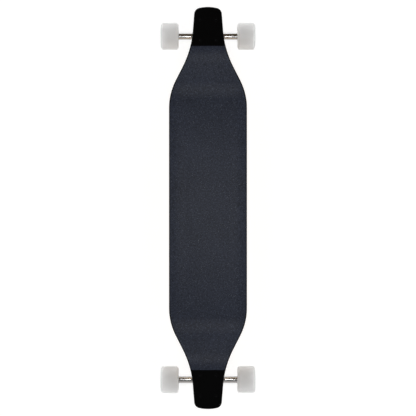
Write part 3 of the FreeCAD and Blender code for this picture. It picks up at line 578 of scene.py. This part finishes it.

# %% [markdown]
# ## Wheels
# The wheels are milky urethane, poured round a stiff grey core. Light goes into urethane and comes out
# somewhere else, so the core shows through as a soft, darker patch. The shader scatters most of the
# light under a pale skin, lets a quarter of it through, and paints the outer shoulder a little greyer:
# painted shade for the dark rim at the edge of a clear wheel.
# All four wheels share one finish: taking the size of x and y, without its sign, brings every wheel to
# the same place, where rings about its axle can be measured.

# %% Milky urethane
AXLE_Y = 0.456
WHEEL_X = 0.1015
WHEEL_Z = 0.035
URETHANE = seen(249, 251, 252)
URETHANE_WARM = seen(243, 244, 243)
# painted shade: the grey that the outer shoulder is painted towards
SHOULDER_PAINTED_SHADE = seen(206, 208, 208)
TREAD_EDGE = (0.0335, 0.0348)
SHOULDER_SHADE_EDGE = (0.0185, 0.0225)
LATHE_MARKS = 2600


def wheel_place(finish):
    """Where a point lies on any of the four wheels: how far out along the axle, and how far from it."""
    x, y, z = finish.split(finish.place)
    along = abs(x) - WHEEL_X
    back = abs(y) - AXLE_Y
    up = z - WHEEL_Z
    return along, (back * back + up * up).root()


tyre = Finish("milky_urethane")
along, radius = wheel_place(tyre)
cloud = tyre.noise(tyre.place, 60.0, 3.0)
turned = tyre.noise(tyre.join(along * LATHE_MARKS, radius * LATHE_MARKS, 0.0), 1.0, 2.0)
on_tread = radius.step(*TREAD_EDGE)
# painted shade: where the outer shoulder is painted greyer
painted_shoulder_shade = along.step(*SHOULDER_SHADE_EDGE)
milky = tyre.mix(cloud * 0.7 + on_tread * 0.2, URETHANE, URETHANE_WARM)
tyre.give(
    # painted shade on the outer shoulder
    Base_Color=tyre.mix(painted_shoulder_shade, milky, SHOULDER_PAINTED_SHADE),
    Roughness=0.30 + cloud * 0.04 + on_tread * 0.04,
    IOR=1.48,
    Specular_IOR_Level=0.1,
    Transmission_Weight=0.25,
    Subsurface_Weight=1.0,
    Subsurface_Radius=(1.0, 1.0, 1.0),
    Subsurface_Scale=0.03,
    Normal=tyre.bump(turned, depth=0.00004, strength=0.5),
)
wheels = [f"{end}_{hand}" for end in ENDS for hand in ("left", "right")]
wear_on(tyre, *[f"{wheel}_tyre" for wheel in wheels])

# %% Grey cores
CORE = seen(120, 124, 130)
CORE_DARK = seen(98, 102, 108)

core = Finish("grey_core")
flow = core.noise(core.place, 130.0, 3.0)
core.give(
    Base_Color=core.mix(flow, CORE, CORE_DARK),
    Roughness=0.38 + flow * 0.12,
    Specular_IOR_Level=0.1,
    Normal=core.bump(flow, depth=0.00005, strength=0.4),
)
wear_on(core, *[f"{wheel}_core" for wheel in wheels])

# %% [markdown]
# ## Bearings
# Each wheel turns on two ball bearings with pressed steel shields. Bearing steel is ground, so its faces
# carry fine rings about the axle. A noise that only knows how far out and how far from the axle a point
# lies draws them.

# %% Ground bearing steel
GROUND = (0.66, 0.66, 0.67)
GROUND_DARK = (0.50, 0.50, 0.51)
GRIND_ALONG = 3000
GRIND_ROUND = 9000

bearing = Finish("ground_steel")
along, radius = wheel_place(bearing)
rings = bearing.noise(bearing.join(along * GRIND_ALONG, radius * GRIND_ROUND, 0.0), 1.0, 2.0)
oil = bearing.noise(bearing.place, 200.0, 3.0)
bearing.give(
    Base_Color=bearing.mix(rings * 0.5 + oil * 0.4, GROUND, GROUND_DARK),
    Metallic=1.0,
    Roughness=0.16 + rings * 0.12 + oil * 0.08,
    Normal=bearing.bump(rings, depth=0.00002, strength=0.5),
)
bearing_parts = ("outer_rings", "inner_rings", "shields", "balls")
wear_on(bearing, *[f"{wheel}_bearing_{part}" for wheel in wheels for part in bearing_parts])

# %% Turned spacers
SPACER = (0.68, 0.68, 0.66)
SPACER_DARK = (0.52, 0.52, 0.50)
SPACER_GROOVES = 6000

spacer = Finish("turned_alloy")
along = wheel_place(spacer)[0]
grooves = spacer.noise(spacer.join(along * SPACER_GROOVES, 0.0, 0.0), 1.0, 2.0)
spacer.give(
    Base_Color=spacer.mix(grooves, SPACER, SPACER_DARK),
    Metallic=1.0,
    Roughness=0.26 + grooves * 0.14,
    Normal=spacer.bump(grooves, depth=0.00003, strength=0.6),
)
wear_on(spacer, *[f"{wheel}_bearing_spacer" for wheel in wheels])

# %% [markdown]
# ## Pivot cups
# The hanger's pin rocks in a plastic cup pressed into the baseplate. It is dull black plastic, with the
# faint orange-peel of its mould.

# %% Cup plastic
CUP = seen(24, 24, 25)
CUP_SCUFF = seen(48, 48, 50)

cup = Finish("moulded_cup")
scuff = cup.noise(cup.place, 300.0, 3.0)
cup.give(
    Base_Color=cup.mix(scuff.step(0.45, 0.75), CUP, CUP_SCUFF),
    Roughness=0.50 + scuff * 0.12,
    Normal=cup.bump(cup.noise(cup.place, 1400.0, 2.0), depth=0.00005, strength=0.5),
)
wear_on(cup, "front_pivot_cup", "rear_pivot_cup")

# %% [markdown]
# ## Turned bushings
# The bushings are the springs of a truck: two soft rings round the kingpin, one on each side of the
# hanger's ring. When the board leans, the hanger end of each bushing follows the hanger while its other
# end stays in its washer. Here each bushing is turned anew, in place of the solid, as a mesh with
# rings of points along its height.
# A round piece is a profile spun round an axis, and `bmesh` does that in a few lines.

# %% Soft urethane
BUSHING = seen(30, 30, 32)
BUSHING_BLOOM = seen(58, 57, 58)

soft = Finish("soft_urethane")
bloom = soft.noise(soft.place, 220.0, 3.0)
soft.give(
    Base_Color=soft.mix(bloom.step(0.35, 0.8), BUSHING, BUSHING_BLOOM),
    Roughness=0.42 + bloom * 0.14,
    Normal=soft.bump(soft.noise(soft.place, 900.0, 2.0), depth=0.00006, strength=0.5),
)
print("soft urethane ready")

# %% Profiles of the bushings
NEAR_END = 0.0035
FAR_END = 0.0185
BORE = 0.00485
BIG = 0.0125
SMALL = 0.0100
EDGE_ROUND = 0.0016
FLANK_END = FAR_END - EDGE_ROUND
SEAT_TOP = 0.0050
SEAT_TAPER = 0.0002
BARREL_SWELL = 0.0007
CONE_HOLLOW = 0.0004
EDGE_ANGLES = [math.pi / 2 * turn / 4 for turn in range(5)]
BORE_SHARES = (0.25, 0.5, 0.75)


def barrel_profile(way):
    """A barrel between the baseplate's washer and the ring, slightly swollen by its load."""
    points = [(BORE, way * FAR_END)]
    for angle in EDGE_ANGLES:
        reach = BIG - EDGE_ROUND + EDGE_ROUND * math.sin(angle)
        points.append((reach, way * (FLANK_END + EDGE_ROUND * math.cos(angle))))
    for share in (0.2, 0.35, 0.5, 0.65, 0.8):
        swell = BARREL_SWELL * math.sin(math.pi * share)
        points.append((BIG + swell, way * (FLANK_END + (SEAT_TOP - FLANK_END) * share)))
    points += [(BIG, way * SEAT_TOP), (BIG - SEAT_TAPER, way * NEAR_END), (BORE, way * NEAR_END)]
    points += [(BORE, way * (NEAR_END + (FAR_END - NEAR_END) * share)) for share in BORE_SHARES]
    return points


def cone_profile(way):
    """A cone between the ring and the nut's washer, with a slightly hollow flank."""
    points = [(BORE, way * NEAR_END), (BIG - SEAT_TAPER, way * NEAR_END), (BIG, way * SEAT_TOP)]
    for share in (0.2, 0.4, 0.6, 0.8):
        hollow = CONE_HOLLOW * math.sin(math.pi * share)
        reach = BIG + (SMALL - BIG) * share - hollow
        points.append((reach, way * (SEAT_TOP + (FLANK_END - SEAT_TOP) * share)))
    for angle in EDGE_ANGLES:
        reach = SMALL - EDGE_ROUND + EDGE_ROUND * math.cos(angle)
        points.append((reach, way * (FLANK_END + EDGE_ROUND * math.sin(angle))))
    points.append((BORE, way * FAR_END))
    points += [(BORE, way * (FAR_END - (FAR_END - NEAR_END) * share)) for share in BORE_SHARES]
    return points


print("profiles of", len(barrel_profile(-1)), "and", len(cone_profile(1)), "points")

# %% Turn the bushings
RING_Y = 0.474
RING_Z = 0.066
LEAN = math.sqrt(0.5)
SPIN_STEPS = 72
SHARP_EDGE = math.radians(50)


def kingpin_frame(end):
    """Middle of the hanger's ring, the way from there to the kingpin's nut, and two ways across it."""
    middle = Vector((0, end * RING_Y, RING_Z))
    along = Vector((0, end * LEAN, -LEAN))
    across = Vector((1, 0, 0))
    return middle, along, across, along.cross(across)


def spin(name, profile, place):
    """A closed ring: a profile of (radius, height along the kingpin) spun round the kingpin."""
    middle, along, across, up = place
    build = bmesh.new()
    rings = []
    for step in range(SPIN_STEPS):
        turn = 2 * math.pi * step / SPIN_STEPS
        way = across * math.cos(turn) + up * math.sin(turn)
        rings.append([
            build.verts.new(middle + along * height + way * radius) for radius, height in profile])
    for step, ring in enumerate(rings):
        following = rings[(step + 1) % SPIN_STEPS]
        for index in range(len(profile)):
            other = (index + 1) % len(profile)
            build.faces.new((ring[index], ring[other], following[other], following[index]))
    bmesh.ops.recalc_face_normals(build, faces=build.faces)
    mesh = bpy.data.meshes.new(name)
    build.to_mesh(mesh)
    build.free()
    mesh.shade_smooth()
    mesh.set_sharp_from_angle(angle=SHARP_EDGE)
    made = bpy.data.objects.new(name, mesh)
    scene.collection.objects.link(made)
    return made


for end_name, end in ENDS.items():
    place = kingpin_frame(end)
    middle, along = place[0], place[1]
    for shape, node, profile, way in (
        ("barrel_bushing", "boardside_bushing", barrel_profile(-1), -1),
        ("cone_bushing", "roadside_bushing", cone_profile(1), 1),
    ):
        bushing = spin(f"{end_name}_{shape}", profile, place)
        bushing.data.materials.append(soft.material)
        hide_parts(f"{end_name}_{node}")
        washer_end = middle + along * (way * FAR_END)
        ring_end = middle + along * (way * NEAR_END)
        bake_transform(bushing)
        print(bushing.name, len(bushing.data.polygons), "faces")

# %% [markdown]
# ## Screw threads and nylon rings
# The ends of the axles, kingpins and deck bolts stand a few threads out of their lock nuts, and each
# lock nut ends in a nylon ring that grips the thread. They repeat fourteen times at three sizes, so
# Geometry Nodes make them: one point per nut end, a helix or a ring made once from named sizes, an
# instance on every point turned along its bolt, and all of it realised into one plain mesh.

# %% Tools for Geometry Nodes
def new_group(name, sizes):
    """A Geometry Nodes tree with a geometry input, a material input and one number for each size."""
    group = bpy.data.node_groups.new(name, "GeometryNodeTree")
    group.interface.new_socket("Points", in_out="INPUT", socket_type="NodeSocketGeometry")
    for size in sizes:
        group.interface.new_socket(size, in_out="INPUT", socket_type="NodeSocketFloat")
    group.interface.new_socket("Finish", in_out="INPUT", socket_type="NodeSocketMaterial")
    group.interface.new_socket("Result", in_out="OUTPUT", socket_type="NodeSocketGeometry")
    return group


def geometry_node(group, kind, settings=None, sockets=None):
    made = group.nodes.new(kind)
    for name, value in (settings or {}).items():
        setattr(made, name, value)
    for key, value in (sockets or {}).items():
        socket = Tree.find(made.inputs, key)
        if isinstance(value, bpy.types.NodeSocket):
            group.links.new(value, socket)
        else:
            socket.default_value = value
    return made


def stand_on_points(group, given, shape):
    """Puts the shape on every point, turned along the point's own direction, and ends the tree."""
    toward = geometry_node(group, "GeometryNodeInputNamedAttribute", {"data_type": "FLOAT_VECTOR"},
                           {"Name": "toward"})
    turn = geometry_node(group, "FunctionNodeAlignRotationToVector", {"axis": "Z"},
                         {"Vector": toward.outputs["Attribute"]})
    spread = geometry_node(group, "GeometryNodeInstanceOnPoints", {}, {
        "Points": given.outputs["Points"], "Instance": shape, "Rotation": turn.outputs["Rotation"]})
    plain = geometry_node(group, "GeometryNodeRealizeInstances", {}, {
        "Geometry": spread.outputs["Instances"]})
    dressed = geometry_node(group, "GeometryNodeSetMaterial", {}, {
        "Geometry": plain.outputs["Geometry"], "Material": given.outputs["Finish"]})
    geometry_node(group, "NodeGroupOutput", {}, {"Result": dressed.outputs["Geometry"]})


print("tools ready for trees that stand a shape on points")

# %% A tree for screw threads
TURN_STEPS = 40
RIDGE_CORNERS = 4

thread_group = new_group("screw_thread", ("Radius", "Pitch", "Length", "Ridge"))
given = thread_group.nodes.new("NodeGroupInput")
turns = geometry_node(thread_group, "ShaderNodeMath", {"operation": "DIVIDE"}, {
    0: given.outputs["Length"], 1: given.outputs["Pitch"]})
helix = geometry_node(thread_group, "GeometryNodeCurveSpiral", {}, {
    "Resolution": TURN_STEPS, "Rotations": turns.outputs[0], "Start Radius": given.outputs["Radius"],
    "End Radius": given.outputs["Radius"], "Height": given.outputs["Length"]})
upright = geometry_node(thread_group, "GeometryNodeSetCurveNormal", {"mode": "Z_UP"},
                        {"Curve": helix.outputs["Curve"]})
crest = geometry_node(thread_group, "GeometryNodeCurvePrimitiveCircle", {}, {
    "Resolution": RIDGE_CORNERS, "Radius": given.outputs["Ridge"]})
ridge = geometry_node(thread_group, "GeometryNodeCurveToMesh", {}, {
    "Curve": upright.outputs["Curve"], "Profile Curve": crest.outputs["Curve"], "Fill Caps": True})
stand_on_points(thread_group, given, ridge.outputs["Mesh"])
print(thread_group.name, len(thread_group.nodes), "nodes")

# %% A tree for nylon rings
HOOP_STEPS = 48
HOOP_CORNERS = 8

nylon_group = new_group("nylon_ring", ("Radius", "Thickness"))
given = nylon_group.nodes.new("NodeGroupInput")
circle = geometry_node(nylon_group, "GeometryNodeCurvePrimitiveCircle", {}, {
    "Resolution": HOOP_STEPS, "Radius": given.outputs["Radius"]})
section = geometry_node(nylon_group, "GeometryNodeCurvePrimitiveCircle", {}, {
    "Resolution": HOOP_CORNERS, "Radius": given.outputs["Thickness"]})
hoop = geometry_node(nylon_group, "GeometryNodeCurveToMesh", {}, {
    "Curve": circle.outputs["Curve"], "Profile Curve": section.outputs["Curve"]})
stand_on_points(nylon_group, given, hoop.outputs["Mesh"])
print(nylon_group.name, len(nylon_group.nodes), "nodes")

# %% Use a tree on a set of points
def grow(name, group, points, finish, **sizes):
    """Runs a tree on points of (place, direction) and keeps the result as a plain mesh."""
    seeds = bpy.data.meshes.new(f"{name}_points")
    seeds.from_pydata([tuple(spot) for spot, _ in points], [], [])
    toward = seeds.attributes.new("toward", "FLOAT_VECTOR", "POINT")
    toward.data.foreach_set("vector", [part for _, way in points for part in way])
    helper = bpy.data.objects.new(f"{name}_points", seeds)
    scene.collection.objects.link(helper)
    modifier = helper.modifiers.new("grow", "NODES")
    modifier.node_group = group
    given = [item for item in group.interface.items_tree if item.in_out == "INPUT"]
    inputs = {item.name: item.identifier for item in given}
    modifier[inputs["Finish"]] = finish.material
    for size, value in sizes.items():
        modifier[inputs[size]] = value
    drawn = helper.evaluated_get(bpy.context.evaluated_depsgraph_get())
    mesh = bpy.data.meshes.new_from_object(drawn)
    mesh.name = name
    helper.modifiers.remove(modifier)
    bpy.data.objects.remove(helper)
    made = bpy.data.objects.new(name, mesh)
    scene.collection.objects.link(made)
    # the tree leaves an empty slot before the finish, so the slots are set anew
    mesh.materials.clear()
    mesh.materials.append(finish.material)
    mesh.polygons.foreach_set("material_index", [0] * len(mesh.polygons))
    print(name, len(mesh.polygons), "faces in", finish.material.name)
    return made


print("grow: one plain mesh from a tree and its points")

# %% [markdown]
# Where each nut ends can be read from the solids: the boxes of an axle and its nuts give the bare length
# between them, and so do those of the deck bolts and their nuts. The kingpins lean, so theirs is worked
# out along the kingpin from the ring. The nylon is left in its natural, cloudy white-grey.

# %% Natural nylon
NYLON = seen(196, 200, 204)
NYLON_CLOUD = seen(168, 174, 182)

nylon = Finish("nylon_insert")
milk = nylon.noise(nylon.place, 500.0, 2.0)
nylon.give(
    Base_Color=nylon.mix(milk, NYLON, NYLON_CLOUD),
    Roughness=0.42 + milk * 0.1,
    Normal=nylon.bump(milk, depth=0.00003, strength=0.4),
)
print("nylon ready,", len(nylon.node_tree.nodes), "shader nodes")

# %% Axle ends
AXLE_RADIUS = 0.004
AXLE_BEVEL = 0.00125
COARSE_PITCH = 0.00106
COARSE_RIDGE = 0.0003
NYLON_GAP = 0.0008
NYLON_THICK = 0.0004

for end_name, end in ENDS.items():
    nut_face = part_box(f"{end_name}_axle_nuts")[1].x
    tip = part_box(f"{end_name}_axle")[1].x
    ends = [(Vector((side * nut_face, end * AXLE_Y, WHEEL_Z)), Vector((side, 0, 0))) for side in (-1, 1)]
    thread = grow(f"{end_name}_axle_threads", thread_group, ends, zinc, Radius=AXLE_RADIUS,
                  Pitch=COARSE_PITCH, Length=tip - nut_face - AXLE_BEVEL, Ridge=COARSE_RIDGE)
    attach(thread, f"{end_name}_truck")
    ring = grow(f"{end_name}_axle_nylon", nylon_group, ends, nylon,
                Radius=AXLE_RADIUS + NYLON_GAP, Thickness=NYLON_THICK)
    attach(ring, f"{end_name}_truck")

# %% Deck bolt ends
BOLT_RADIUS = 0.0024
BOLT_X = 0.02065
BOLT_GAP = 0.0538
BOLT_SHIFT = 0.004
FINE_PITCH = 0.00079
FINE_RIDGE = 0.00022
FINE_NYLON_GAP = 0.0006
FINE_NYLON_THICK = 0.00032

bolt_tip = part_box("front_mounting_bolts")[0].z
bolt_nut_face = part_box("front_mounting_nuts")[0].z
bolt_ends = []
for end in ENDS.values():
    for side in (1, -1):
        for along in (1, -1):
            y = end * (AXLE_Y + BOLT_SHIFT) + along * BOLT_GAP / 2
            bolt_ends.append((Vector((side * BOLT_X, y, bolt_nut_face)), Vector((0, 0, -1))))
bolt_threads = grow("deck_bolt_threads", thread_group, bolt_ends, oxide, Radius=BOLT_RADIUS,
                    Pitch=FINE_PITCH, Length=bolt_nut_face - bolt_tip, Ridge=FINE_RIDGE)
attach(bolt_threads, "board")
bolt_nylon = grow("deck_bolt_nylon", nylon_group, bolt_ends, nylon,
                  Radius=BOLT_RADIUS + FINE_NYLON_GAP, Thickness=FINE_NYLON_THICK)
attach(bolt_nylon, "board")

# %% Kingpin ends
KINGPIN_RADIUS = 0.00475
KINGPIN_BARE = 0.0015
NUT_END = 0.031

kingpin_ends = []
for end in ENDS.values():
    middle, along = kingpin_frame(end)[:2]
    kingpin_ends.append((middle + along * NUT_END, along))
kingpin_threads = grow("kingpin_threads", thread_group, kingpin_ends, zinc, Radius=KINGPIN_RADIUS,
                       Pitch=COARSE_PITCH, Length=KINGPIN_BARE, Ridge=COARSE_RIDGE)
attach(kingpin_threads, "board")
kingpin_nylon = grow("kingpin_nylon", nylon_group, kingpin_ends, nylon,
                     Radius=KINGPIN_RADIUS + NYLON_GAP, Thickness=NYLON_THICK)
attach(kingpin_nylon, "board")
